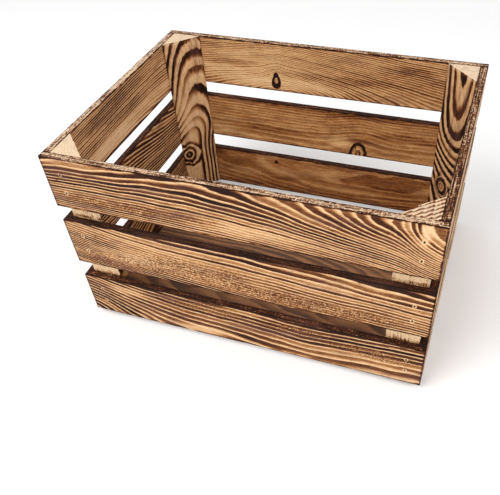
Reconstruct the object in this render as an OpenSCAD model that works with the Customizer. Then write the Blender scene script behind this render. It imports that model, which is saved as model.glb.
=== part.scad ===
// Slatted orchard crate: three courses of nailed slats round four
// triangular corner posts, on a floor of lengthwise slats.
// Millimetres. The origin is the middle of the underside, +Z is up,
// +X runs along the front and the front faces -Y.

/* [Crate] */
// Overall length, along the front and back walls
crate_length = 520; // [400:5:700]
// Overall depth, from the front face to the back face
crate_depth = 384; // [300:4:520]

/* [Wall slats] */
// Thickness of every wall slat
wall_thickness = 11; // [9:0.5:16]
// Width of the top course of slats
upper_width = 81; // [64:1:110]
// Width of the middle course of slats
middle_width = 80; // [64:1:110]
// Width of the bottom course of slats
lower_width = 76; // [60:1:110]
// Open gap between the top and middle courses
upper_gap = 24; // [12:1:50]
// Open gap between the middle and bottom courses
lower_gap = 28; // [12:1:50]
// Chamfer along the long edges of every slat
edge_break = 0.8; // [0.3:0.1:2]

/* [Floor slats] */
// Thickness of every floor slat
floor_thickness = 11; // [8:0.5:16]
// Width of every floor slat
floor_width = 80; // [60:1:95]
// Distance of the outer floor slats from the front and back faces
floor_inset = 26; // [15:1:32]

/* [Corner posts] */
// Length of the two square sides of a triangular post
post_leg = 46; // [38:1:60]
// Flat left on the two sharp edges of a post
post_nose = 1.5; // [0.5:0.25:4]

/* [Nails] */
// Diameter of a nail's shank
nail_d = 1.6; // [1.2:0.1:2.2]
// Length of a nail, head and point included
nail_length = 30; // [25:1:36]
// Length of a nail's cone point
nail_point = 3; // [1:0.5:5]
// Long side of the flat nail head
head_length = 3.6; // [3:0.1:5]
// Short side of the flat nail head
head_width = 2.2; // [1.8:0.1:3.5]
// Thickness of the nail head
head_thickness = 1.2; // [0.8:0.1:2]
// Depth that a head is driven below the face of the wood
head_sink = 0.5; // [0:0.1:1.5]
// Clearance round a nail in its hole
nail_clearance = 0.15; // [0.05:0.05:0.3]
// Wood left past the point of a front or back nail
front_point_wood = 13.5; // [4:0.5:15]
// Wood left past the point of a left or right nail
side_point_wood = 8.5; // [4:0.5:15]
// Distance of front and back nails from the edges of their slat
front_nail_edge = 26; // [24:1:30]
// Distance of left and right nails from the edges of their slat
side_nail_edge = 18; // [10:1:20]
// Distance of floor nails from the edges of their slat
floor_nail_edge = 10; // [6:1:20]
// Distance of the floor nails in the posts from the inside of the side walls
floor_nail_in_post = 10; // [4:1:12]

/* [Hidden] */
SIDES = ["front", "right", "back", "left"];
COURSES = ["lower", "middle", "upper"];
// Post i stands where side i ends and side i + 1 starts
POSTS = ["front_right", "back_right", "back_left", "front_left"];
FLOOR = ["front", "middle", "back"];
$fn = 32;

// Anything cut is cut this far past the face it opens through
overcut = 1;
course_widths = [lower_width, middle_width, upper_width];
lower_z = floor_thickness;
middle_z = lower_z + lower_width + lower_gap;
upper_z = middle_z + middle_width + upper_gap;
course_feet = [lower_z, middle_z, upper_z];
crate_height = upper_z + upper_width;
// The side slats stand between the front and back slats
side_slat_length = crate_depth - 2 * wall_thickness;
// How far a nail goes into the wood behind its slat
nail_bite = nail_length + head_sink - wall_thickness;
// Nail places, from the inside corner of the post that they go into
front_nail_from_corner = post_leg - nail_bite - front_point_wood;
side_nail_from_corner = post_leg - nail_bite - side_point_wood;
// Middle lines of the three floor slats, from front to back
floor_offset = crate_depth / 2 - floor_inset - floor_width / 2;
floor_middles = [-floor_offset, 0, floor_offset];

function is_long(side) = side == "front" || side == "back";
function slat_length(side) = is_long(side) ? crate_length : side_slat_length;
function side_reach(side) = (is_long(side) ? crate_depth : crate_length) / 2;
function nail_edge(side) = is_long(side) ? front_nail_edge : side_nail_edge;
// Nails' distance from the middle of their slat, along its length
function nail_along(side) = is_long(side)
    ? crate_length / 2 - wall_thickness - front_nail_from_corner
    : side_slat_length / 2 - side_nail_from_corner;
// Nail places in one end of a floor slat, as [along X, along Y]
post_nail_x = crate_length / 2 - wall_thickness - floor_nail_in_post;
wall_nail_x = crate_length / 2 - wall_thickness / 2;
nail_from_middle = floor_width / 2 - floor_nail_edge;
function floor_nails(i) = [
    [i == 0 ? post_nail_x : wall_nail_x, floor_middles[i] - nail_from_middle],
    [i == 2 ? post_nail_x : wall_nail_x, floor_middles[i] + nail_from_middle]
];

// Puts a thing drawn on the plane y = 0, and going into +Y, on one side
module on_side(side) {
    turn = 90 * search([side], SIDES)[0];
    rotate([0, 0, turn]) translate([0, -side_reach(side), 0]) children();
}

// Sawn board along X, centred, with its face on y = 0 and its foot on z = 0
module board(length, width, thickness) {
    c = edge_break;
    rotate([90, 0, 90])
        translate([0, 0, -length / 2])
            linear_extrude(length)
                polygon([
                    [c, 0], [thickness - c, 0], [thickness, c], [thickness, width - c],
                    [thickness - c, width], [c, width], [0, width - c], [0, c]
                ]);
}

// Flat-headed nail driven along +Y through the plane y = 0
module nail() {
    translate([0, head_sink, 0]) {
        translate([-head_width / 2, 0, -head_length / 2])
            cube([head_width, head_thickness, head_length]);
        rotate([-90, 0, 0]) {
            cylinder(d = nail_d, h = nail_length - nail_point);
            translate([0, 0, nail_length - nail_point])
                cylinder(d1 = nail_d, d2 = nail_d / 4, h = nail_point);
        }
    }
}

// The hole that a nail sits in: a pocket for the head and a bore to its point
module nail_hole() {
    width = head_width + 2 * nail_clearance;
    length = head_length + 2 * nail_clearance;
    translate([-width / 2, -overcut, -length / 2])
        cube([width, head_sink + head_thickness + overcut, length]);
    rotate([-90, 0, 0])
        cylinder(d = nail_d + 2 * nail_clearance, h = head_sink + nail_length + nail_clearance);
}

// Puts a nail or a hole at the nail places of one course, at the given ends
module at_wall_nails(side, course, ends = [-1, 1]) {
    foot = course_feet[course];
    edge = nail_edge(side);
    on_side(side)
        for (end = ends, z = [foot + edge, foot + course_widths[course] - edge])
            translate([end * nail_along(side), 0, z]) children();
}

// Puts a nail or a hole, driven upwards, at the nail places of a floor slat
module at_floor_nails(i, ends = [-1, 1]) {
    for (end = ends, place = floor_nails(i))
        translate([end * place[0], place[1], 0]) rotate([90, 0, 0]) children();
}

module wall_slat(side, course) {
    color(is_long(side) ? "peru" : "tan")
        difference() {
            on_side(side)
                translate([0, 0, course_feet[course]])
                    board(slat_length(side), course_widths[course], wall_thickness);
            at_wall_nails(side, course) nail_hole();
            if (!is_long(side) && course == 0)
                for (i = [0 : 2]) at_floor_nails(i, [side == "left" ? -1 : 1]) nail_hole();
        }
}

module floor_slat(i) {
    color("burlywood")
        difference() {
            translate([0, floor_middles[i], 0])
                rotate([90, 0, 0])
                    translate([0, 0, -floor_width / 2])
                        board(crate_length, floor_width, floor_thickness);
            at_floor_nails(i) nail_hole();
        }
}

// Triangular post with its square corner in the corner of the walls
module post(i) {
    turn = 90 * (i + 1);
    corner = [
        (i < 2 ? 1 : -1) * (crate_length / 2 - wall_thickness),
        (i == 1 || i == 2 ? 1 : -1) * (crate_depth / 2 - wall_thickness)
    ];
    color("wheat")
        difference() {
            translate([corner[0], corner[1], floor_thickness])
                rotate([0, 0, turn])
                    linear_extrude(crate_height - floor_thickness)
                        polygon([
                            [0, 0], [post_leg, 0], [post_leg, post_nose],
                            [post_nose, post_leg], [0, post_leg]
                        ]);
            for (course = [0 : 2]) {
                at_wall_nails(SIDES[i], course, [1]) nail_hole();
                at_wall_nails(SIDES[(i + 1) % 4], course, [-1]) nail_hole();
            }
            for (j = [0, 2]) at_floor_nails(j, [sign(corner[0])]) nail_hole();
        }
}

module wall_nails(side) {
    color("dimgray")
        for (course = [0 : 2]) at_wall_nails(side, course) nail();
}

module floor_nail_set() {
    color("dimgray")
        for (i = [0 : 2]) at_floor_nails(i) nail();
}

for (i = [0 : 3])
    post(i);
for (side = SIDES, course = [0 : 2])
    wall_slat(side, course);
for (i = [0 : 2])
    floor_slat(i);
for (side = SIDES)
    wall_nails(side);
floor_nail_set();  // nails_floor
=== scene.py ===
"""Slatted fruit crate of scorched pine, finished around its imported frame."""

import math
from collections import namedtuple

import bmesh
import bpy
import numpy as np
from mathutils import Matrix, Quaternion, Vector


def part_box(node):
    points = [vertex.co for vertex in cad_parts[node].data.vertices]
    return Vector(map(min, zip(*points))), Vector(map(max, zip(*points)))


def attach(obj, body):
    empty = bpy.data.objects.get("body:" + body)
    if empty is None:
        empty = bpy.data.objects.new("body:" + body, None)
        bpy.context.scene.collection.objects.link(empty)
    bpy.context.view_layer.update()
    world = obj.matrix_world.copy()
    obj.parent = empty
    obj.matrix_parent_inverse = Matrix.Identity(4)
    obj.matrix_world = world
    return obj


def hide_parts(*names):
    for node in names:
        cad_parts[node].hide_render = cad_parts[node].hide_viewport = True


bl_info = {
    "name": "Scorched Orchard Crate",
    "version": (1, 0, 0),
    "blender": (4, 5, 0),
    "location": "3D View > Sidebar > Crate",
    "description": "Builds the boards, posts, nails and studio of a scorched pine crate",
    "category": "Object",
}

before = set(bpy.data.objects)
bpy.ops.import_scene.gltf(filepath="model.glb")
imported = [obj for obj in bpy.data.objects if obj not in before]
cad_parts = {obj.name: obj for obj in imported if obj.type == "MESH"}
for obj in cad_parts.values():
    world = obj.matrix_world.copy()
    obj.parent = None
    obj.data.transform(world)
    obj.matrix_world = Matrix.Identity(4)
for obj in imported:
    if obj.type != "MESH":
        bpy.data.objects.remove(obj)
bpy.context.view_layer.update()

MM = 0.001
UP = Vector((0, 0, 1))
# The direction that each wall faces
SIDES = {
    "front": Vector((0, -1, 0)),
    "right": Vector((1, 0, 0)),
    "back": Vector((0, 1, 0)),
    "left": Vector((-1, 0, 0)),
}
COURSES = ("lower", "middle", "upper")
# The direction that each post's long face looks, into the crate
POSTS = {
    "front_left": Vector((1, 1, 0)),
    "front_right": Vector((-1, 1, 0)),
    "back_right": Vector((-1, -1, 0)),
    "back_left": Vector((1, -1, 0)),
}
FLOOR = ("front", "middle", "back")

WELD = 0.02 * MM  # Vertices of a packed nail nearer than this are one
HALO = 1.6 * MM  # Width of the ring of mesh round a nail's pocket
NAIL_GAP = 0.3 * MM  # No grid line is nearer than this to a pocket
DRAFT = 0.02 * MM  # How far a pocket's floor is drawn in from its rim
HEAD_ROUND = 0.28 * MM
SHANK_SIDES = 12
CLEAR_SHARE = 0.3  # Share of a grid step that a mark keeps free of other lines
KNOT_LINES = 3  # Grid lines in a knot's half size
POST_ROWS = 18  # Grid rows between a post's square corner and its long face
CREASE = math.radians(38)  # Edges sharper than this are shaded as edges
FAR_FROM_KNOT = 40.0
FAR_FROM_NAIL = 30.0
GRAIN_STRIDE = np.array([331.0, 97.0, 53.0])  # Moves each timber to its own wood, in mm
SENSOR_WIDTH = 36

# What each of a timber's random fields is for, as a number added to the timber's seed
SWAY, SWAY_FINE, LIFT, LIFT_FINE, SEAM, UNEVEN, ROUGH, CHIP, SCORCH, TEETH = range(10)

# A knot's place along and across its timber and its half sizes, how far the rings rise
# over it, and how far from it and how wide its own rings are. All in mm.
Knot = namedtuple(
    "Knot", "along across half_along half_across rise reach spacing taper",
    defaults=[6, 4, 3, 0.3],
)

# A patch that the flame caught more (or, with a strength below 0, less), in mm. Some are painted
# shade as well.
Burn = namedtuple("Burn", "along across half_along half_across strength")

# How a timber was cut from its log, and how the flame caught it. Lengths are in mm.
#   heart    path of the log's heart, as places along, across and out from the middle
#   ring     width of a year ring, and core: radius inside which the rings are much wider
#   sear     scorch of the outer face, at the start and the end of the timber
#   inside   scorch of the inner face, at the start and the end, with painted shade on lower courses
#   edges    scorch of the foot edge and of the top edge
#   sands    patches of the outer face where the rings blur into grit
#   calm     how far the rings of the inner face blur into one tone, from 0 to 1
#   saw      depth of the saw's teeth in the top of a post
Cut = namedtuple(
    "Cut", "heart ring core sear inside edges knots burns sands calm saw",
    defaults=[3.2, 20, (0.5, 0.5), (0.3, 0.3), (0.6, 0.6), (), (), (), 0.2, 0.3],
)

CUTS = {
    "front_slat_upper": Cut(
        heart=(
            (-260, 58, -61), (-160, 51, -68), (-50, 45, -73), (80, 45, -65), (133, 45, -58),
            (177, 45, -51), (217, 44, -42), (240, 44, -26), (262, 44, -8),
        ),
        ring=2.8, core=38, sear=(0.92, 0.65), inside=(0.35, 0.3), edges=(0.7, 0.58),
        burns=(
            Burn(-150, -18, 130, 12, 0.5), Burn(20, 12, 60, 14, 0.25),
            Burn(60, -20, 110, 12, -0.3), Burn(238, 28, 7, 20, -0.9), Burn(-210, 34, 50, 8, -0.3),
        ),
        sands=(Burn(-140, -20, 120, 9, 0.6),),
    ),
    "front_slat_middle": Cut(
        heart=((-260, 114, -62), (-143, 82, -75), (0, 68, -78), (120, 60, -76), (260, 52, -73)),
        ring=3.4, core=30, sear=(0.75, 0.75), inside=(0.3, 0.3), edges=(0.6, 1.0),
        burns=(
            Burn(-170, -12, 60, 18, -0.4), Burn(-225, 8, 50, 12, 0.3),
            Burn(60, -38, 190, 6, 0.5), Burn(0, 33, 200, 6, 0.3),
        ),
        sands=(
            Burn(-70, -10, 110, 22, 1), Burn(90, -26, 150, 13, 1), Burn(-190, -22, 70, 16, 0.8),
        ),
    ),
    "front_slat_lower": Cut(
        heart=(
            (-260, -60, -22), (-206, -60, -49), (-154, -60, -63), (-100, -60, -71),
            (0, -60, -75), (80, -60, -80), (260, -60, -75),
        ),
        ring=5.6, core=30, sear=(0.85, 0.8), inside=(0.3, 0.3), edges=(0.7, 0.9),
        burns=(
            Burn(130, 16, 150, 16, 0.9), Burn(-130, 36, 110, 8, 0.9), Burn(-230, -20, 50, 22, 0.7),
            Burn(-60, -27, 60, 10, -0.6), Burn(160, -34, 120, 8, -0.2),
            Burn(-190, 20, 40, 9, -0.4),
        ),
        sands=(
            Burn(80, 20, 60, 9, 0.7), Burn(190, 6, 70, 12, 0.8), Burn(-60, 22, 90, 14, 0.5),
        ),
    ),
    "right_slat_upper": Cut(
        heart=((-190, -20, -44), (0, -20, -40), (190, -16, -24)), ring=3.4,
        sear=(0.7, 0.75), edges=(0.6, 0.74),
    ),
    "right_slat_middle": Cut(
        heart=((-190, 15, 52), (0, 15, 45), (190, 20, 40)), ring=3,
        sear=(0.75, 0.6), edges=(0.6, 0.95),
    ),
    "right_slat_lower": Cut(
        heart=((-190, -34, -58), (0, -34, -44), (190, -30, -26)), ring=3.6,
        sear=(0.7, 0.7), edges=(0.7, 0.95), knots=(Knot(64, 8, 7, 6, 5),),
    ),
    # The back wall's inner faces darken course by course downwards: partly scorch, partly painted
    # shade
    "back_slat_upper": Cut(
        heart=(
            (-260, -60, -89), (-100, -60, -69), (0, -60, -46), (52, -60, -33), (112, -60, -46),
            (260, -60, -67),
        ),
        ring=2.6, calm=0.3, sear=(0.7, 0.75), inside=(0.56, 0.52), edges=(0.6, 0.61),
        knots=(Knot(72, -22, 5.2, 10, 12, 4, 6),),
        burns=(
            Burn(150, 2, 60, 8, 0.35), Burn(-60, -8, 100, 7, 0.3), Burn(-150, 20, 40, 8, 0.4),
            Burn(60, -28, 130, 14, -0.3),
        ),
    ),
    "back_slat_middle": Cut(
        heart=((-260, -50, -80), (0, -54, -84), (260, -50, -84)),
        ring=3.6, calm=0.85, sear=(0.75, 0.65), inside=(0.6, 0.56), edges=(0.6, 0.95),
        knots=(Knot(-72, -36, 13, 20, 22, 4, 7, 0.05),),
        burns=(
            Burn(90, -14, 120, 6, 0.3), Burn(-150, 6, 60, 8, 0.35), Burn(0, 36, 260, 6, 0.3),
            Burn(-40, -18, 26, 14, -0.3),
        ),
    ),
    "back_slat_lower": Cut(
        heart=((-260, 30, -92), (0, 16, -96), (260, 34, -100)),
        ring=3.8, calm=0.85, sear=(0.7, 0.7), inside=(0.66, 0.66), edges=(0.7, 0.95),
        knots=(Knot(82, 25, 1.6, 1.6, 1, 1, 3),),
        # The first band, along the foot of the board, is partly scorch and partly painted shade
        burns=(Burn(0, -38, 260, 14, 0.7), Burn(-100, -2, 120, 7, 0.3)),
    ),
    # The left wall's inner faces darken course by course downwards: partly scorch, partly painted
    # shade
    "left_slat_upper": Cut(
        heart=((-190, -60, -52), (0, -56, -46), (190, -66, -46)), ring=3.1,
        sear=(0.7, 0.75), inside=(0.6, 0.58), edges=(0.6, 0.5), calm=0,
        # The last band, along the lower edge, is partly scorch and partly painted shade
        burns=(Burn(20, 24, 110, 12, 0.5), Burn(0, -24, 190, 14, -0.5), Burn(0, -40, 190, 3, 0.8)),
    ),
    "left_slat_middle": Cut(
        heart=((-190, 52, -14), (-90, 58, -30), (0, 64, -44), (190, 70, -62)), ring=4.4,
        sear=(0.75, 0.7), inside=(0.75, 0.78), edges=(0.6, 0.95), calm=0,
        # This band along the lower edge is partly scorch and partly painted shade
        burns=(Burn(0, -38, 190, 6, 0.7),),
    ),
    "left_slat_lower": Cut(
        heart=((-190, -30, 44), (0, -30, 50), (190, -30, 62)), ring=3.4,
        sear=(0.75, 0.75), inside=(0.9, 0.9), edges=(0.7, 0.95),
        knots=(Knot(-70, 12, 6, 7, 5),),
    ),
    "floor_slat_front": Cut(
        heart=((-260, 26, 42), (0, 26, 60), (260, 20, 78)), ring=4, sear=(0.5, 0.6),
    ),
    "floor_slat_middle": Cut(
        heart=((-260, -12, 74), (0, -12, 52), (260, -18, 40)), ring=4.4, sear=(0.6, 0.5),
    ),
    "floor_slat_back": Cut(
        heart=((-260, 34, -86), (0, 34, -66), (260, 30, -52)), ring=4, sear=(0.55, 0.5),
    ),
    "post_front_left": Cut(
        heart=((-144, 12, 12), (0, 12, 26), (144, 12, 40)), ring=4.5, core=8, sear=(0.6, 0.6),
    ),
    "post_front_right": Cut(
        heart=((-144, -16, 46), (0, -16, 30), (144, -20, 14)), ring=4.5, core=8,
        sear=(0.7, 0.5), saw=2.4,
    ),
    "post_back_right": Cut(
        heart=(
            (-144, -34, -112), (-62, -34, -92), (-20, -26, -68), (12, -14, -47), (37, -6, -34),
            (77, -4, -24), (106, -4, -19.5), (144, -4, -15),
        ),
        ring=10, core=6, sear=(0.95, 1.0),
        knots=(Knot(-62, 5, 12, 11, 8, 9, 5.2, 0.1),),
        burns=(Burn(84, -4, 60, 34, 0.6), Burn(84, 22, 70, 12, 0.5),),
    ),
    "post_back_left": Cut(
        heart=(
            (-144, 23, -8), (-104, 22, -6), (-68, 21, -6), (-42, 16, -13), (-22, 7, -23),
            (0, -3, -34), (20, -9, -41), (50, -14, -47), (100, -16, -57), (144, -16, -68),
        ),
        ring=6.8, core=24, sear=(0.8, 0.8),
        knots=(Knot(-68, 21, 5, 4.6, 0, 23, 10.5, 0.1),),
        burns=(
            Burn(136, -18, 12, 16, 0.6), Burn(95, -16, 14, 11, 0.6), Burn(56, -24, 12, 10, 0.5),
            Burn(-100, -22, 60, 16, 0.5), Burn(6, 4, 62, 30, -0.45),
        ),
    ),
}


# ---------------------------------------------------------------- settings


def linear(red, green, blue):
    """A colour given in 0 to 255 display values, as the linear colour that shaders use."""
    return tuple(
        c / 12.92 if c <= 0.04045 else ((c + 0.055) / 1.055) ** 2.4
        for c in (red / 255, green / 255, blue / 255)
    )


def colour(name, description, red, green, blue):
    return bpy.props.FloatVectorProperty(
        name=name, description=description, subtype="COLOR", size=3, min=0, max=1,
        default=linear(red, green, blue),
    )


def length(name, description, millimetres):
    return bpy.props.FloatProperty(
        name=name, description=description, unit="LENGTH", default=millimetres * MM,
    )


class CrateTimberSettings(bpy.types.PropertyGroup):
    edge_round: length("Edge round", "Radius of the worn edges of a board", 0.8)
    grid_along: length("Grid along", "Mesh step along the grain", 5)
    grid_across: length("Grid across", "Mesh step across the grain", 1.25)
    relief: length("Relief", "Depth of the soft wood that was brushed out of a board", 0.22)
    post_relief: length("Post relief", "The same, on the long face of a post", 0.7)
    chips: length("Chips", "Greatest depth of the chips along an edge", 0.7)
    post_nose: length("Post nose", "Flat on the two sharp edges of a post", 1.5)
    head_long: length("Nail head length", "Long side of a nail head", 3.6)
    head_short: length("Nail head width", "Short side of a nail head", 2.2)
    head_thick: length("Nail head thickness", "Thickness of a nail head", 1.2)
    head_sink: length("Nail head depth", "Depth of a nail head below the wood's face", 0.5)
    shank: length("Nail shank", "Diameter of a nail's shank", 1.6)
    nail_room: length("Nail clearance", "Gap round a nail head in its pocket", 0.15)


class CrateWoodSettings(bpy.types.PropertyGroup):
    pale: colour("Pale wood", "Pine that the flame missed", 238, 202, 160)
    tan: colour("Toasted wood", "Pine that the flame warmed", 209, 164, 115)
    brown: colour("Brown wood", "Well toasted pine", 160, 107, 62)
    dark: colour("Dark wood", "Scorched soft wood", 98, 52, 22)
    soot: colour("Sooty wood", "Wood that is nearly burnt", 62, 28, 9)
    char: colour("Char", "Burnt wood", 32, 13, 5)
    plum: colour("Plum tint", "Tint of wood that was scorched under smoke", 100, 62, 52)
    grey: colour("Grey tint", "Tint of planed wood", 212, 192, 170)
    amber: colour("Amber tint", "Multiplies the smooth inner faces", 255, 250, 232)
    steel: colour("Nail steel", "Flame-darkened nail heads", 70, 62, 58)


class CrateStudioSettings(bpy.types.PropertyGroup):
    floor: colour("Floor", "Colour of the studio floor", 250, 250, 250)
    lens: bpy.props.FloatProperty(
        name="Lens", description="Focal length of the camera", unit="CAMERA", default=43.94,
    )
    azimuth: bpy.props.FloatProperty(
        name="Azimuth", description="Turn of the camera round the crate",
        subtype="ANGLE", default=math.radians(-21.37),
    )
    elevation: bpy.props.FloatProperty(
        name="Elevation", description="How steeply the camera looks down",
        subtype="ANGLE", default=math.radians(45.92),
    )
    roll: bpy.props.FloatProperty(
        name="Roll", description="Tilt of the camera about its own line of sight",
        subtype="ANGLE", default=math.radians(-3.6),
    )
    distance: length("Distance", "From the camera to the point it looks at", 807.6)
    aim: bpy.props.FloatVectorProperty(
        name="Aim", description="Point that the camera looks at", subtype="TRANSLATION",
        size=3, default=(0.0691, -0.1854, 0.150),
    )
    shift: bpy.props.FloatVectorProperty(
        name="Shift", description="Camera shift, in frame widths", size=2,
        default=(-0.076, 0.077),
    )


# ---------------------------------------------------------------- timber meshes


class Timber:
    """Where one board or post lies: its own axes run along it, across it and outwards."""

    def __init__(self, node, out, across):
        low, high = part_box(node)
        out, across = out.normalized(), across.normalized()
        axes = (across.cross(out), across, out)
        self.node = node
        self.centre = (low + high) / 2
        self.size = Vector([sum(abs(a[i]) * (high - low)[i] for i in range(3)) for a in axes])
        turn = Matrix(axes).transposed()
        self.matrix = Matrix.Translation(self.centre) @ turn.to_4x4()

    def local(self, point):
        return self.matrix.inverted() @ point


def islands(bm):
    """The separate pieces of a mesh, each as a list of its vertices."""
    left = set(bm.verts)
    found = []
    while left:
        piece, edge = [], [left.pop()]
        while edge:
            vert = edge.pop()
            piece.append(vert)
            for link in vert.link_edges:
                other = link.other_vert(vert)
                if other in left:
                    left.remove(other)
                    edge.append(other)
        found.append(piece)
    return found


def nail_centres(node):
    """The middle of each nail of a node of the frame."""
    bm = bmesh.new()
    bm.from_mesh(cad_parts[node].data)
    bmesh.ops.remove_doubles(bm, verts=bm.verts, dist=WELD)
    centres = []
    for piece in islands(bm):
        co = np.array([v.co for v in piece])
        centres.append(Vector((co.min(0) + co.max(0)) / 2))
    bm.free()
    if not centres:
        raise RuntimeError(f"{node} holds no nails")
    return centres


def nails_in(timber, centres):
    """Nail heads in a board's outer face, as places along and across it."""
    half = timber.size / 2
    places = []
    for centre in centres:
        p = timber.local(centre)
        if abs(p.x) < half.x and abs(p.y) < half.y:
            places.append((p.x, p.y))
    if not places:
        raise RuntimeError(f"no nail meets {timber.node}")
    return places


def stations(half, step, marks, keep_clear):
    """Even cuts from -half to half, with the marks added and the cuts near them left out."""
    count = max(1, round(2 * half / step))
    even = [half * (2 * i / count - 1) for i in range(1, count)]
    free = [x for x in even if all(abs(x - m) > keep_clear for m in marks)]
    return sorted(free + [m for m in marks if abs(m) < half])


def cut_grid(bm, axis, places):
    normal = Vector([float(i == axis) for i in range(3)])
    for place in places:
        bmesh.ops.bisect_plane(
            bm, geom=bm.verts[:] + bm.edges[:] + bm.faces[:], dist=1e-7,
            plane_co=normal * place, plane_no=normal,
        )


def knot_marks(knots, axis):
    """Extra cuts that let the mesh follow each knot."""
    marks = set()
    for knot in knots:
        place = (knot.along, knot.across)[axis]
        half = (knot.half_along, knot.half_across)[axis]
        for i in range(-2 * KNOT_LINES, 2 * KNOT_LINES + 1):
            marks.add(round(place + half * i / KNOT_LINES, 2))
    return [m * MM for m in sorted(marks)]


def board_mesh(timber, nails, cut, settings):
    """A board with worn edges, a fine grid on its faces and a pocket for each nail head."""
    half = timber.size / 2
    bm = bmesh.new()
    bmesh.ops.create_cube(bm, size=1)
    bmesh.ops.scale(bm, vec=timber.size, verts=bm.verts)
    bmesh.ops.bevel(
        bm, geom=bm.edges[:], offset=settings.edge_round, affect="EDGES",
        segments=2, profile=0.5, material=-1,
    )
    room = settings.nail_room
    pocket = (settings.head_short / 2 + room, settings.head_long / 2 + room)
    for axis, step in ((0, settings.grid_along), (1, settings.grid_across)):
        nail_marks = [n[axis] + s * pocket[axis] for n in nails for s in (-1, 1)]
        halo = [n[axis] + s * (pocket[axis] + HALO) for n in nails for s in (-1, 1)]
        marks = sorted(set(round(m, 7) for m in nail_marks + halo))
        soft = [m for m in knot_marks(cut.knots, axis)
                if all(abs(m - n[axis]) > 2 * pocket[axis] for n in nails)]
        clear = [n[axis] for n in nails]
        cuts = stations(half[axis] - settings.edge_round, step, marks + soft, step * CLEAR_SHARE)
        cuts = [c for c in cuts
                if c in marks or all(abs(c - n) > pocket[axis] + NAIL_GAP for n in clear)]
        cut_grid(bm, axis, cuts)
    cut_grid(bm, 2, (-half.z / 3, half.z / 3))
    floors = []
    for face in bm.faces:
        middle = face.calc_center_median()
        if face.normal.z > 0.9 and any(
            abs(middle.x - n[0]) < pocket[0] and abs(middle.y - n[1]) < pocket[1] for n in nails
        ):
            floors.append(face)
    if floors:
        bmesh.ops.inset_region(
            bm, faces=floors, thickness=DRAFT, use_even_offset=True, use_boundary=True,
            depth=-(settings.head_sink + settings.head_thick),
        )
    return bm


def post_mesh(timber, cut, settings):
    """A triangular post, its long face outwards, with a fine grid for the brushed grain."""
    corner = -timber.size.y / 2
    nose = settings.post_nose / math.sqrt(2)
    outline = (
        (0, corner), (-corner, 0), (-corner - nose, nose), (corner + nose, nose), (corner, 0),
    )
    bm = bmesh.new()
    foot = [bm.verts.new((-timber.size.x / 2, y, z)) for y, z in outline]
    face = bm.faces.new(foot)
    extruded = bmesh.ops.extrude_face_region(bm, geom=[face])["geom"]
    risen = [e for e in extruded if isinstance(e, bmesh.types.BMVert)]
    bmesh.ops.translate(bm, verts=risen, vec=(timber.size.x, 0, 0))
    bmesh.ops.recalc_face_normals(bm, faces=bm.faces)
    bmesh.ops.bevel(
        bm, geom=bm.edges[:], offset=settings.edge_round / 2, affect="EDGES",
        segments=1, profile=0.5, material=-1,
    )
    clear = settings.edge_round
    for axis, half, step in (
        (0, timber.size.x / 2, settings.grid_along), (1, -corner, settings.grid_across),
    ):
        marks = knot_marks(cut.knots, axis)
        cut_grid(bm, axis, stations(half - clear, step, marks, step * CLEAR_SHARE))
    cut_grid(bm, 2, [corner * i / POST_ROWS for i in range(1, POST_ROWS)])
    return bm


# ---------------------------------------------------------------- grain


def waves(points, seed, reach, count=7):
    """A smooth random field, mostly from -1 to 1, that changes over reach along each axis."""
    rng = np.random.default_rng(seed)
    total = np.zeros(len(points))
    for _ in range(count):
        direction = rng.normal(size=3)
        direction *= rng.uniform(0.5, 1.5) / np.linalg.norm(direction)
        total += np.sin((points / np.array(reach)) @ direction * math.pi + rng.uniform(0, math.tau))
    return total / math.sqrt(count)


def knot_distance(points, knot):
    """How far each point is outside a knot's outline, in mm."""
    across = (points[:, 1] - knot.across) / knot.half_across
    taper = 1 - knot.taper * np.clip(across, -1, 1)
    along = (points[:, 0] - knot.along) / knot.half_along / taper
    return (np.hypot(along, across) - 1) * min(knot.half_along, knot.half_across)


def smooth_path(x, places, column):
    """A smooth curve through one column of the places, at x along the timber."""
    table = np.array(places, float)
    xs, ys = table[:, 0], table[:, column]
    slopes = np.gradient(ys, xs)
    i = np.clip(np.searchsorted(xs, x) - 1, 0, len(xs) - 2)
    span = xs[i + 1] - xs[i]
    t = np.clip((x - xs[i]) / span, 0, 1)
    start = (1 + 2 * t) * (1 - t) ** 2 * ys[i] + t * (1 - t) ** 2 * span * slopes[i]
    end = t**2 * (3 - 2 * t) * ys[i + 1] + t**2 * (t - 1) * span * slopes[i + 1]
    return start + end


def ring_phase(points, cut, seed):
    """How many year rings lie between the log's heart and each point."""
    u, v, w = points.T.copy()
    for knot in cut.knots:
        du = (u - knot.along) / (3.2 * knot.half_along)
        dv = (v - knot.across) / knot.half_across
        v = v - knot.rise * np.tanh(dv) * np.exp(-(du**2) - np.abs(dv) / 3.5)
    sway = 1.6 * waves(points, seed + SWAY, (170, 90, 90))
    sway += 0.5 * waves(points, seed + SWAY_FINE, (45, 26, 26))
    lift = 1.8 * waves(points, seed + LIFT, (190, 90, 90))
    lift += 0.5 * waves(points, seed + LIFT_FINE, (38, 22, 22))
    across = v - smooth_path(u, cut.heart, 1) + sway
    out = w - smooth_path(u, cut.heart, 2) + lift
    radius = np.hypot(across, out)
    phase = np.logaddexp(0, 4 * (radius / cut.core - 1)) * cut.core / 4 / cut.ring
    for knot in cut.knots:
        away = knot_distance(points, knot)
        inner = np.median(phase[away < 2]) if np.any(away < 2) else 0.0
        share = 1 - smooth_step(away, knot.reach * 0.4, knot.reach)
        phase = phase + (np.floor(inner) + away / knot.spacing - phase) * share
    return phase


def smooth_step(value, low, high):
    """0 at low, 1 at high and smooth between. Low may be above high."""
    t = np.clip((value - low) / (high - low), 0, 1)
    return t * t * (3 - 2 * t)


def store(mesh, name, values):
    kind = "FLOAT_VECTOR" if values.ndim == 2 else "FLOAT"
    attribute = mesh.attributes.new(name, kind, "POINT")
    key = "vector" if values.ndim == 2 else "value"
    attribute.data.foreach_set(key, values.astype(np.float32).ravel())


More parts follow.
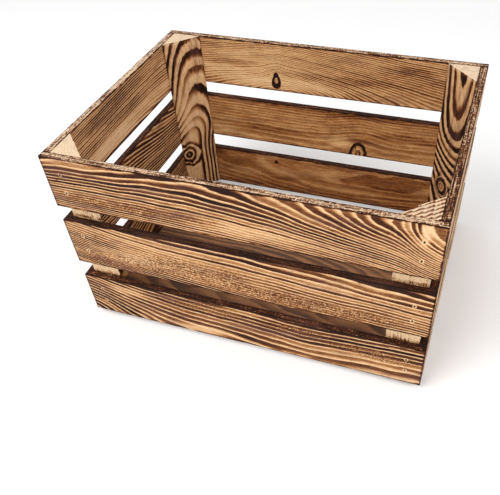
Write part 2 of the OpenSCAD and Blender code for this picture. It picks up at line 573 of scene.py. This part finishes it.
def edge_distances(points, half, nose):
    """How far each point is below each pair of faces: ends, edges and wide faces, in mm."""
    u, v, w = points.T
    if nose is None:
        return np.stack([half[0] - np.abs(u), half[1] - np.abs(v), half[2] - np.abs(w)], 1)
    leg = (w + half[1] - np.abs(v)) / math.sqrt(2)
    return np.stack([half[0] - np.abs(u), leg, nose / math.sqrt(2) - w], 1)


def patches(points, burns):
    """The summed strength of the burns at each point."""
    total = np.zeros(len(points))
    for burn in burns:
        along = (points[:, 0] - burn.along) / burn.half_along
        across = (points[:, 1] - burn.across) / burn.half_across
        total += burn.strength * (1 - smooth_step(np.hypot(along, across), 0.35, 1.25))
    return total


def scorch_and_shade(points, half, cut, seed):
    """How much the flame caught the wood round each point, from 0 to 1, with painted shade that
    darkens the lower inner faces of the back and left walls.
    """
    u, _, w = points.T
    along = (u / half[0] + 1) / 2
    out = cut.sear[0] + (cut.sear[1] - cut.sear[0]) * along
    inside = cut.inside[0] + (cut.inside[1] - cut.inside[0]) * along
    facing = smooth_step(w, -half[2] * 0.4, half[2] * 0.4) if half[2] < half[1] / 2 else 1.0
    sear = inside + (out - inside) * facing + patches(points, cut.burns)
    return np.clip(sear + 0.1 * waves(points, seed + SCORCH, (120, 36, 36)), 0, 1)


# How each point lies in its timber, in mm: its place before the relief, the timber's half
# size, a post's nose, how far it is from an arris, and which kind of face it is on
Skin = namedtuple("Skin", "u v w half nose arris end_face narrow wide outer")


def read_skin(points, half, nose, rounding):
    u, v, w = points.T.copy()
    depths = edge_distances(points, half, nose)
    wide = (depths[:, 2] < 0.05) & (depths[:, 1] > 0.1)
    return Skin(
        u, v, w, half, nose,
        arris=np.sort(depths, axis=1)[:, 1],
        end_face=smooth_step(depths[:, 0], rounding, 0.15),
        narrow=smooth_step(depths[:, 1], rounding, 0.2),
        wide=wide,
        outer=wide & (w > -half[2] * 0.5),
    )


def brush_faces(points, skin, phase, seed, relief):
    """Sinks the wide faces where the soft wood was brushed out between the rings."""
    share = phase % 1
    soft = smooth_step(share, 0.05, 0.5) * (1 - smooth_step(share, 0.85, 1.0))
    uneven = 0.12 * (1 + waves(points, seed + UNEVEN, (60, 14, 14)))
    depth = relief * soft * (1 - skin.end_face) + uneven
    depth = np.where(skin.wide, np.maximum(depth, 0), 0)
    points[:, 2] -= depth * np.where(skin.outer, 1, -1)


def wear_edges(points, skin, rough, seed, rounding, chips):
    """Pulls in and chips the long edges of a board."""
    chip = np.clip(waves(points, seed + CHIP, (16, 30, 30), 12) - 0.7, 0, 1.2)
    worn = smooth_step(skin.arris, rounding + 0.1, rounding * 0.4)
    pull = np.minimum(chips * worn * (0.25 * rough + chip), 1.4)
    points[:, 1] -= np.sign(skin.v) * pull * skin.narrow


def saw_top(points, skin, rough, seed, saw):
    """Leaves the saw's teeth in the top of a post, and gives how deep each point is in one."""
    top = skin.half[0]
    bend = 0.1 * waves(points, seed + TEETH, (40, 40, 40))
    teeth = (skin.w / 6 + skin.v / 50 + bend) % 1
    near_top = smooth_step(skin.u, top - 5, top - 1)
    points[:, 2] -= np.where(skin.outer | (skin.w > 0), saw * teeth * near_top, 0)
    points[:, 0] -= smooth_step(skin.u, top - 2, top) * (0.2 * rough + 0.3 * saw * teeth)
    return teeth


def post_marks(points, skin, seed, centre_z):
    """How scorched a post's legs are: most along the upper edge of each course."""
    wave = 1.5 * waves(points, seed + SEAM, (9, 9, 9))
    total = 0
    for course in COURSES:
        place = (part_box(f"front_slat_{course}")[1].z - centre_z) / MM
        total = total + np.exp(-(((skin.u - place - 1.5 + wave) / 3) ** 2))
    return 0.08 + 0.8 * total


def knot_gap(skin, knots):
    """How far each point is from the nearest knot."""
    points = np.stack([skin.u, skin.v, skin.w], 1)
    gap = np.full(len(points), FAR_FROM_KNOT)
    for knot in knots:
        gap = np.minimum(gap, knot_distance(points, knot))
    return gap


def nail_gap(skin, nails):
    """How far each point of the outer face is from the nearest nail."""
    gap = np.full(len(skin.u), FAR_FROM_NAIL)
    for along, across in nails:
        away = np.hypot(skin.u - along / MM, skin.v - across / MM)
        gap = np.minimum(gap, away + np.where(skin.outer, 0, FAR_FROM_NAIL))
    return gap


def finish_timber(name, bm, timber, nails, cut, seed, settings, nose=None):
    """Gives a mesh its brushed relief, chipped edges and grain, and puts it in its place."""
    mesh = bpy.data.meshes.new(name)
    bm.to_mesh(mesh)
    bm.free()
    co = np.empty(len(mesh.vertices) * 3)
    mesh.vertices.foreach_get("co", co)
    points = co.reshape(-1, 3) / MM
    rounding = settings.edge_round / MM
    skin = read_skin(points, np.array(timber.size) / MM / 2, nose, rounding)
    phase = ring_phase(points, cut, seed)
    sear = scorch_and_shade(points, skin.half, cut, seed)

    relief = settings.relief if nose is None else settings.post_relief
    brush_faces(points, skin, phase, seed, relief / MM)
    rough = np.clip(0.5 + 0.5 * waves(points, seed + ROUGH, (9, 5, 5), 12), 0, 1.5)
    if nose is None:
        wear_edges(points, skin, rough, seed, rounding, settings.chips / MM)
        teeth = np.zeros(len(points))
        marks = np.where(skin.v > 0, cut.edges[1], cut.edges[0])
    else:
        teeth = saw_top(points, skin, rough, seed, cut.saw)
        marks = post_marks(points, skin, seed, timber.centre.z)

    grain = {
        "grain_point": points + GRAIN_STRIDE * (seed % 97),
        "grain_phase": phase,
        # sear holds the scorch, with painted shade low on the back and left walls
        "sear": sear,
        "calm": np.where(skin.outer, 0, cut.calm),
        "sand": np.where(skin.outer, np.clip(patches(points, cut.sands), 0, 1), 0),
        "narrow": skin.narrow,
        "end_face": skin.end_face,
        "edge_sear": marks,
        "arris_mm": skin.arris,
        "knot_mm": knot_gap(skin, cut.knots),
        "nail_mm": nail_gap(skin, nails),
        "saw_mm": teeth * cut.saw,
    }
    for attribute, values in grain.items():
        store(mesh, attribute, values)

    mesh.vertices.foreach_set("co", (points * MM).ravel())
    mesh.transform(timber.matrix)
    mesh.update()
    finish_shading(mesh)
    piece = bpy.data.objects.new(name, mesh)
    bpy.context.scene.collection.objects.link(piece)
    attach(piece, "root")
    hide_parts(timber.node)
    return piece


def finish_shading(mesh):
    """Smooth shading, with sharp edges where faces meet at more than the crease angle."""
    bm = bmesh.new()
    bm.from_mesh(mesh)
    for face in bm.faces:
        face.smooth = True
    for edge in bm.edges:
        edge.smooth = edge.calc_face_angle(0) < CREASE
    bm.to_mesh(mesh)
    bm.free()


# ---------------------------------------------------------------- shader graph


class Signal:
    """A number that varies over a surface. Arithmetic on it adds Math nodes."""

    def __init__(self, graph, socket):
        self.graph = graph
        self.socket = socket

    def __add__(self, other):
        return self.graph.math("ADD", self, other)

    def __sub__(self, other):
        return self.graph.math("SUBTRACT", self, other)

    def __rsub__(self, other):
        return self.graph.math("SUBTRACT", other, self)

    def __mul__(self, other):
        return self.graph.math("MULTIPLY", self, other)

    __radd__ = __add__


class Graph:
    """Adds the nodes of one material. Inputs may be numbers, colours or Signals."""

    def __init__(self, name):
        self.material = bpy.data.materials.new(name)
        self.material.use_nodes = True
        self.tree = self.material.node_tree
        self.shader = self.tree.nodes["Principled BSDF"]

    def put(self, socket, value):
        if isinstance(value, Signal):
            self.tree.links.new(value.socket, socket)
        else:
            socket.default_value = value

    def node(self, kind, **settings):
        node = self.tree.nodes.new(kind)
        for key, value in settings.items():
            setattr(node, key, value)
        return node

    def math(self, operation, a, b=0.0, clamp=False):
        node = self.node("ShaderNodeMath", operation=operation, use_clamp=clamp)
        self.put(node.inputs[0], a)
        self.put(node.inputs[1], b)
        return Signal(self, node.outputs[0])

    def clamp(self, value):
        return self.math("ADD", value, 0.0, clamp=True)

    def most(self, a, b):
        return self.math("MAXIMUM", a, b)

    def step(self, value, low, high):
        """0 below low, 1 above high and smooth between. Low may be above high."""
        node = self.node("ShaderNodeMapRange", interpolation_type="SMOOTHSTEP")
        rising = high > low
        self.put(node.inputs["Value"], value)
        node.inputs["From Min"].default_value = min(low, high)
        node.inputs["From Max"].default_value = max(low, high)
        node.inputs["To Min"].default_value = 0 if rising else 1
        node.inputs["To Max"].default_value = 1 if rising else 0
        return Signal(self, node.outputs[0])

    def mix(self, share, a, b):
        node = self.node("ShaderNodeMix", data_type="FLOAT")
        self.put(node.inputs[0], share)
        self.put(node.inputs[2], a)
        self.put(node.inputs[3], b)
        return Signal(self, node.outputs[0])

    def blend(self, share, a, b, blend_type="MIX"):
        node = self.node("ShaderNodeMix", data_type="RGBA", blend_type=blend_type)
        self.put(node.inputs[0], share)
        self.put(node.inputs[6], a if isinstance(a, Signal) else (*a, 1))
        self.put(node.inputs[7], b if isinstance(b, Signal) else (*b, 1))
        return Signal(self, node.outputs[2])

    def number(self, name):
        node = self.node("ShaderNodeAttribute", attribute_name=name)
        return Signal(self, node.outputs["Fac"])

    def vector(self, name):
        node = self.node("ShaderNodeAttribute", attribute_name=name)
        return Signal(self, node.outputs["Vector"])

    def scaled(self, vector, scale):
        node = self.node("ShaderNodeVectorMath", operation="MULTIPLY")
        self.put(node.inputs[0], vector)
        node.inputs[1].default_value = scale
        return Signal(self, node.outputs[0])

    def noise(self, vector, reach, detail, roughness=0.5):
        """Noise from 0 to 1 whose features are about reach mm long along each axis."""
        scale = tuple(1 / r for r in reach)
        node = self.node("ShaderNodeTexNoise", noise_dimensions="3D")
        self.put(node.inputs["Vector"], self.scaled(vector, scale))
        node.inputs["Scale"].default_value = 1
        node.inputs["Detail"].default_value = detail
        node.inputs["Roughness"].default_value = roughness
        return Signal(self, node.outputs[0])

    def dice(self, number):
        node = self.node("ShaderNodeTexWhiteNoise", noise_dimensions="1D")
        self.put(node.inputs["W"], number)
        return Signal(self, node.outputs["Value"])

    def ramp(self, value, stops):
        node = self.node("ShaderNodeValToRGB")
        self.put(node.inputs[0], value)
        elements = node.color_ramp.elements
        while len(elements) < len(stops):
            elements.new(0.5)
        for element, (place, colour_value) in zip(elements, stops):
            element.position = place
            element.color = (*colour_value, 1)
        return Signal(self, node.outputs[0])

    def bump(self, height_mm):
        node = self.node("ShaderNodeBump")
        node.inputs["Strength"].default_value = 1
        node.inputs["Distance"].default_value = MM
        self.put(node.inputs["Height"], height_mm)
        return Signal(self, node.outputs[0])


# ---------------------------------------------------------------- materials


# How strong and how broad the dark bands are, then the strength of the overall toast, the
# edge scorch, a grey tint and the grit, how dark the ends are and how grey the edges
PineLook = namedtuple(
    "PineLook", "contrast cover toast edge_char grey_tint grit end_char edge_grey",
)

# What the parts of the pine material share: the timber's grain place, the noises in it, the
# heat of the flame with painted shade low inside the crate, the dark band in each ring, and
# which kind of face the point is on
Fields = namedtuple(
    "Fields", "point fibre hair grit cloud heat band calm narrow end_face arris sawn chips",
)


def grain_fields(g, look):
    point = g.vector("grain_point")
    blotch = g.noise(point, (110, 26, 26), 3, 0.55) - 0.5
    cloud = g.noise(point, (30, 12, 12), 3, 0.55) - 0.5
    # The flame's heat, with the painted shade that sear carries low on the back and left walls
    heat = g.clamp(g.number("sear") + blotch * 0.7 + cloud * 0.4)
    phase = g.number("grain_phase") + (g.noise(point, (22, 5, 5), 2) - 0.5) * 0.3
    share = g.math("FRACT", phase)
    ring = g.dice(g.math("FLOOR", phase))
    rise = g.clamp((share + look.cover - 1) * (heat * 2.6 + 1.2))
    return Fields(
        point, heat=heat, cloud=cloud,
        fibre=g.noise(point, (18, 1.3, 1.3), 3, 0.6) - 0.5,
        hair=g.noise(point, (7, 0.5, 0.5), 2, 0.6) - 0.5,
        grit=g.noise(point, (2.8, 1.6, 1.6), 3, 0.65) - 0.5,
        band=rise * g.step(share, 1.0, 0.87) * (ring * 0.65 + 0.42),
        calm=g.number("calm"),
        narrow=g.number("narrow"),
        end_face=g.number("end_face"),
        arris=g.number("arris_mm") + g.noise(point, (14, 5, 5), 3) * 4.4 - 2.2,
        sawn=g.noise(point, (1.8, 5.0, 5.0), 2, 0.7) - 0.5,
        chips=g.step(g.noise(point, (7, 2.2, 2.2), 3, 0.65), 0.56, 0.66),
    )


def face_char(g, look, f):
    """How burnt the wide faces are, with their rings, fibres, flecks and gritty patches."""
    fleck = g.step(g.noise(f.point, (6, 1.1, 1.1), 1, 0.5), 0.6, 0.7)
    sand = g.clamp(g.number("sand") * (1.0 + f.cloud * 3))
    blur = g.most(f.calm, sand)
    char = f.heat * 0.08 + look.toast + blur * f.heat * 0.38
    char = char + f.band * (f.heat * 0.72 + 0.14) * (1.0 - blur * 0.8) * look.contrast
    char = char + f.fibre * 0.5 * (f.heat * 0.6 + 0.4) + f.hair * 0.22
    char = char + f.grit * (0.3 * look.grit) + fleck * f.heat * 0.22
    char = char + f.grit * sand * 2.6 * look.grit
    char = char - sand * g.step(f.fibre + f.grit * 0.6, 0.06, 0.16) * f.heat * 0.25
    return char + g.step(f.arris, 2.7, 0.1) * look.edge_char


def narrow_char(g, look, f):
    """How burnt the sawn edges are, with their pits, chips and threads."""
    sear = g.number("edge_sear")
    pits = g.step(g.noise(f.point, (4.5, 2.4, 2.4), 3, 0.65), 0.54, 0.62)
    threads = g.noise(f.point, (34, 1.3, 1.3), 2, 0.6) - 0.5
    worn = (f.sawn * 1.8 + threads * 2.2 + f.grit + f.cloud) * (1.5 - sear) * look.grit
    char = sear * 1.25 - 0.3 + worn + pits * 0.3 - f.chips * (1.1 - sear)
    return char + g.step(f.arris, 1.9, 0.2) * 0.8


def end_char(g, look, f):
    """How burnt the ends are, with dark lines of painted shade where the saw bit deep."""
    char = f.band * 0.16 + look.end_char + f.grit * 0.4 + g.step(f.arris, 1.0, -0.2) * 0.4
    # Painted shade in the deep parts of the saw's teeth
    return char + g.step(g.number("saw_mm"), 0.7, 1.7) * 0.5


def knot_char(g, look, f):
    """How burnt a knot's heart is, with cracks that run out from its middle."""
    spoke = g.noise(f.point, (2.2, 9, 2.2), 2, 0.6) - 0.5
    char = f.band * 0.3 + look.toast + 0.16 + f.fibre * 0.6
    return char + g.step(spoke, 0.04, 0.16) * 0.4


def pine_colour(g, look, f, char):
    wood = bpy.context.scene.crate_wood
    stops = [
        (0.0, wood.pale), (0.2, wood.tan), (0.42, wood.brown), (0.64, wood.dark),
        (0.82, wood.soot), (1.0, wood.char),
    ]
    base = g.ramp(char, stops)
    smoke = g.step(g.noise(f.point, (70, 12, 12), 3, 0.55), 0.5, 0.66) * f.heat
    base = g.blend(smoke * 0.5, base, tuple(wood.plum))
    planed = g.most(f.narrow * look.edge_grey, f.end_face) * g.step(char, 0.6, 0.2)
    base = g.blend(planed * 0.6, base, tuple(wood.grey))
    base = g.blend(f.calm * 0.7, base, tuple(wood.amber), "MULTIPLY")
    if look.grey_tint:
        base = g.blend(look.grey_tint, base, tuple(wood.grey))
    return base


def pine(name, look):
    """Scorched and brushed pine, from the grain that each timber carries on its mesh."""
    g = Graph(name)
    f = grain_fields(g, look)
    char = g.mix(f.narrow, face_char(g, look, f), narrow_char(g, look, f))
    char = g.mix(f.end_face, char, end_char(g, look, f))
    nail = g.number("nail_mm") + f.hair * 2
    char = g.mix(g.step(nail, 3.9, 2.8) * 0.85, char, 0.0)
    knot = g.number("knot_mm")
    knot_line = g.step(g.math("ABSOLUTE", knot + f.cloud * 4 + f.fibre * 2), 2.9, 1.4)
    char = g.mix(g.step(knot, 0.4, -0.6), char, knot_char(g, look, f))
    char = g.clamp(char + knot_line * 0.95)

    g.put(g.shader.inputs["Base Color"], pine_colour(g, look, f, char))
    g.put(g.shader.inputs["Roughness"], g.mix(char, 0.55, 0.82) + f.fibre * 0.2)
    g.shader.inputs["Specular IOR Level"].default_value = 0.18
    height = f.band * -0.2 + f.fibre * 0.2 + f.hair * 0.1
    height = height + f.narrow * (f.sawn * 0.6 - f.chips * 0.3)
    height = height - knot_line * 0.3 + f.grit * 0.12
    g.put(g.shader.inputs["Normal"], g.bump(height))
    return g.material


def wall_pine():
    return pine("scorched_wall_pine", PineLook(
        contrast=1.1, cover=0.88, toast=0.03, edge_char=0.75,
        grey_tint=0.0, grit=1.0, end_char=0.45, edge_grey=1.0,
    ))


def post_pine():
    return pine("scorched_post_pine", PineLook(
        contrast=1.45, cover=0.62, toast=0.07, edge_char=0.4,
        grey_tint=0.0, grit=0.6, end_char=0.02, edge_grey=0.2,
    ))


def floor_pine():
    return pine("planed_floor_pine", PineLook(
        contrast=1.3, cover=0.8, toast=0.38, edge_char=0.6,
        grey_tint=0.12, grit=1.0, end_char=0.4, edge_grey=0.6,
    ))


def nail_steel():
    """Flat steel heads, blued and sooted by the flame."""
    wood = bpy.context.scene.crate_wood
    g = Graph("flamed_nail_steel")
    node = g.node("ShaderNodeTexCoord")
    place = Signal(g, node.outputs["Object"])
    soot = g.noise(g.scaled(place, (1000, 1000, 1000)), (1.2, 1.2, 1.2), 3, 0.6)
    patch = g.step(soot, 0.4, 0.62)
    g.put(g.shader.inputs["Base Color"], g.blend(patch, tuple(wood.steel), tuple(wood.char)))
    g.shader.inputs["Metallic"].default_value = 0.85
    g.put(g.shader.inputs["Roughness"], g.mix(patch, 0.42, 0.75))
    g.put(g.shader.inputs["Normal"], g.bump(soot * 0.05))
    return g.material


def shared(build):
    """The material that build makes, made once."""
    name = build.__name__
    for material in bpy.data.materials:
        if material.get("made_by") == name:
            return material
    material = build()
    material["made_by"] = name
    return material


# ---------------------------------------------------------------- pieces


def wall_timbers(side):
    return [Timber(f"{side}_slat_{course}", SIDES[side], UP) for course in COURSES]


def seed_of(node):
    return 11 + 7 * sorted(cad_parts).index(node)


def build_board(timber, nail_node, material):
    settings = bpy.context.scene.crate_timber
    nails = nails_in(timber, nail_centres(nail_node))
    cut = CUTS[timber.node]
    bm = board_mesh(timber, nails, cut, settings)
    name = timber.node.replace("slat", "board")
    piece = finish_timber(name, bm, timber, nails, cut, seed_of(timber.node), settings)
    piece.data.materials.append(material)


def build_nails(name, node, out, long_way):
    """The nails of one wall or of the floor: flat rounded heads on round pointed shanks."""
    settings = bpy.context.scene.crate_timber
    low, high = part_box(node)
    reach = sum(abs(out[i]) * (high - low)[i] for i in range(3))
    turn = Matrix((long_way.cross(out), long_way, out)).transposed().to_4x4()
    bm = bmesh.new()
    for centre in nail_centres(node):
        one = bmesh.new()
        bmesh.ops.create_cube(one, size=1)
        size = (settings.head_short, settings.head_long, settings.head_thick)
        bmesh.ops.scale(one, vec=size, verts=one.verts)
        bmesh.ops.bevel(
            one, geom=one.edges[:], offset=HEAD_ROUND, affect="EDGES",
            segments=2, profile=0.5, material=-1,
        )
        bmesh.ops.translate(one, verts=one.verts, vec=(0, 0, (reach - settings.head_thick) / 2))
        shank_length = reach - settings.head_thick
        made = bmesh.ops.create_cone(
            one, cap_ends=True, segments=SHANK_SIDES, depth=shank_length,
            radius1=settings.shank / 8, radius2=settings.shank / 2,
        )["verts"]
        bmesh.ops.translate(one, verts=made, vec=(0, 0, -settings.head_thick / 2))
        bmesh.ops.transform(one, matrix=Matrix.Translation(centre) @ turn, verts=one.verts)
        part = bpy.data.meshes.new("nail_part")
        one.to_mesh(part)
        bm.from_mesh(part)
        one.free()
        bpy.data.meshes.remove(part)
    mesh = bpy.data.meshes.new(name)
    bm.to_mesh(mesh)
    bm.free()
    finish_shading(mesh)
    piece = bpy.data.objects.new(name, mesh)
    bpy.context.scene.collection.objects.link(piece)
    piece.data.materials.append(shared(nail_steel))
    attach(piece, "root")
    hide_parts(node)


class WallOperator:
    """What the four wall operators share."""

    side = None
    bl_options = {"REGISTER", "UNDO"}

    def execute(self, context):
        for timber in wall_timbers(self.side):
            build_board(timber, f"nails_{self.side}", shared(wall_pine))
        build_nails(f"{self.side}_wall_nails", f"nails_{self.side}", SIDES[self.side], UP)
        return {"FINISHED"}


class CRATE_OT_front_wall(WallOperator, bpy.types.Operator):
    """Build the three boards and the nails of the front wall"""

    bl_idname = "crate.front_wall"
    bl_label = "Front wall"
    side = "front"


class CRATE_OT_back_wall(WallOperator, bpy.types.Operator):
    """Build the three boards and the nails of the back wall"""

    bl_idname = "crate.back_wall"
    bl_label = "Back wall"
    side = "back"


class CRATE_OT_left_wall(WallOperator, bpy.types.Operator):
    """Build the three boards and the nails of the left wall"""

    bl_idname = "crate.left_wall"
    bl_label = "Left wall"
    side = "left"


class CRATE_OT_right_wall(WallOperator, bpy.types.Operator):
    """Build the three boards and the nails of the right wall"""

    bl_idname = "crate.right_wall"
    bl_label = "Right wall"
    side = "right"


class CRATE_OT_posts(bpy.types.Operator):
    """Build the four triangular corner posts"""

    bl_idname = "crate.posts"
    bl_label = "Corner posts"
    bl_options = {"REGISTER", "UNDO"}

    def execute(self, context):
        settings = context.scene.crate_timber
        for place, out in POSTS.items():
            node = f"post_{place}"
            out = out.normalized()
            timber = Timber(node, out, out.cross(UP))
            cut = CUTS[node]
            bm = post_mesh(timber, cut, settings)
            piece = finish_timber(
                f"corner_post_{place}", bm, timber, [], cut, seed_of(node), settings,
                nose=settings.post_nose / MM,
            )
            piece.data.materials.append(shared(post_pine))
        return {"FINISHED"}


class CRATE_OT_floor(bpy.types.Operator):
    """Build the three floor boards and their nails"""

    bl_idname = "crate.floor"
    bl_label = "Floor boards"
    bl_options = {"REGISTER", "UNDO"}

    def execute(self, context):
        for place in FLOOR:
            timber = Timber(f"floor_slat_{place}", -UP, Vector((0, 1, 0)))
            build_board(timber, "nails_floor", shared(floor_pine))
        build_nails("floor_nails", "nails_floor", -UP, Vector((0, 1, 0)))
        return {"FINISHED"}


# ---------------------------------------------------------------- studio


def add_light(name, place, aim, size, power):
    light = bpy.data.lights.new(name, "AREA")
    light.shape = "DISK"
    light.size = size
    light.energy = power
    lamp = bpy.data.objects.new(name, light)
    lamp.location = place
    lamp.rotation_euler = (Vector(aim) - Vector(place)).to_track_quat("-Z", "Y").to_euler()
    bpy.context.scene.collection.objects.link(lamp)


def add_camera(settings):
    camera = bpy.data.cameras.new("camera")
    camera.sensor_width = SENSOR_WIDTH
    camera.lens = settings.lens
    camera.shift_x, camera.shift_y = settings.shift
    view = Vector((
        math.sin(settings.azimuth) * math.cos(settings.elevation),
        math.cos(settings.azimuth) * math.cos(settings.elevation),
        -math.sin(settings.elevation),
    ))
    body = bpy.data.objects.new("camera", camera)
    body.location = Vector(settings.aim) - view * settings.distance
    turn = view.to_track_quat("-Z", "Y") @ Quaternion((0, 0, 1), settings.roll)
    body.rotation_euler = turn.to_euler()
    bpy.context.scene.collection.objects.link(body)
    bpy.context.scene.camera = body


def studio_floor(settings):
    bm = bmesh.new()
    bmesh.ops.create_grid(bm, x_segments=1, y_segments=1, size=6)
    mesh = bpy.data.meshes.new("studio_floor")
    bm.to_mesh(mesh)
    bm.free()
    ground = bpy.data.objects.new("studio_floor", mesh)
    bpy.context.scene.collection.objects.link(ground)
    g = Graph("studio_paper")
    g.shader.inputs["Base Color"].default_value = (*settings.floor, 1)
    g.shader.inputs["Roughness"].default_value = 0.9
    mesh.materials.append(g.material)


class CRATE_OT_stage(bpy.types.Operator):
    """Set up the studio floor, the soft lights and the camera"""

    bl_idname = "crate.stage"
    bl_label = "Studio"
    bl_options = {"REGISTER", "UNDO"}

    def execute(self, context):
        settings = context.scene.crate_studio
        studio_floor(settings)
        add_light("key", place=(-0.9, -1.5, 2.2), aim=(0, 0, 0.1), size=1.8, power=42)
        add_light("fill", place=(1.8, -0.9, 1.6), aim=(0, 0, 0.15), size=1.6, power=16)
        world = bpy.data.worlds.new("studio_sky")
        world.use_nodes = True
        sky = world.node_tree.nodes["Background"]
        sky.inputs["Color"].default_value = (1, 1, 1, 1)
        sky.inputs["Strength"].default_value = 0.75
        context.scene.world = world
        context.scene.view_settings.view_transform = "Standard"
        add_camera(settings)
        return {"FINISHED"}


# ---------------------------------------------------------------- add-on


PIECES = (
    CRATE_OT_front_wall, CRATE_OT_back_wall, CRATE_OT_left_wall, CRATE_OT_right_wall,
    CRATE_OT_posts, CRATE_OT_floor, CRATE_OT_stage,
)


class CRATE_PT_panel(bpy.types.Panel):
    bl_label = "Scorched crate"
    bl_idname = "CRATE_PT_panel"
    bl_space_type = "VIEW_3D"
    bl_region_type = "UI"
    bl_category = "Crate"

    def draw(self, context):
        for piece in PIECES:
            self.layout.operator(piece.bl_idname)


SETTINGS = {
    "crate_timber": CrateTimberSettings,
    "crate_wood": CrateWoodSettings,
    "crate_studio": CrateStudioSettings,
}
CLASSES = (*SETTINGS.values(), *PIECES, CRATE_PT_panel)


def register():
    for cls in CLASSES:
        bpy.utils.register_class(cls)
    for name, group in SETTINGS.items():
        setattr(bpy.types.Scene, name, bpy.props.PointerProperty(type=group))


def unregister():
    for name in SETTINGS:
        delattr(bpy.types.Scene, name)
    for cls in reversed(CLASSES):
        bpy.utils.unregister_class(cls)


def main():
    register()
    for piece in PIECES:
        group, name = piece.bl_idname.split(".")
        getattr(getattr(bpy.ops, group), name)()


if __name__ == "__main__":
    main()
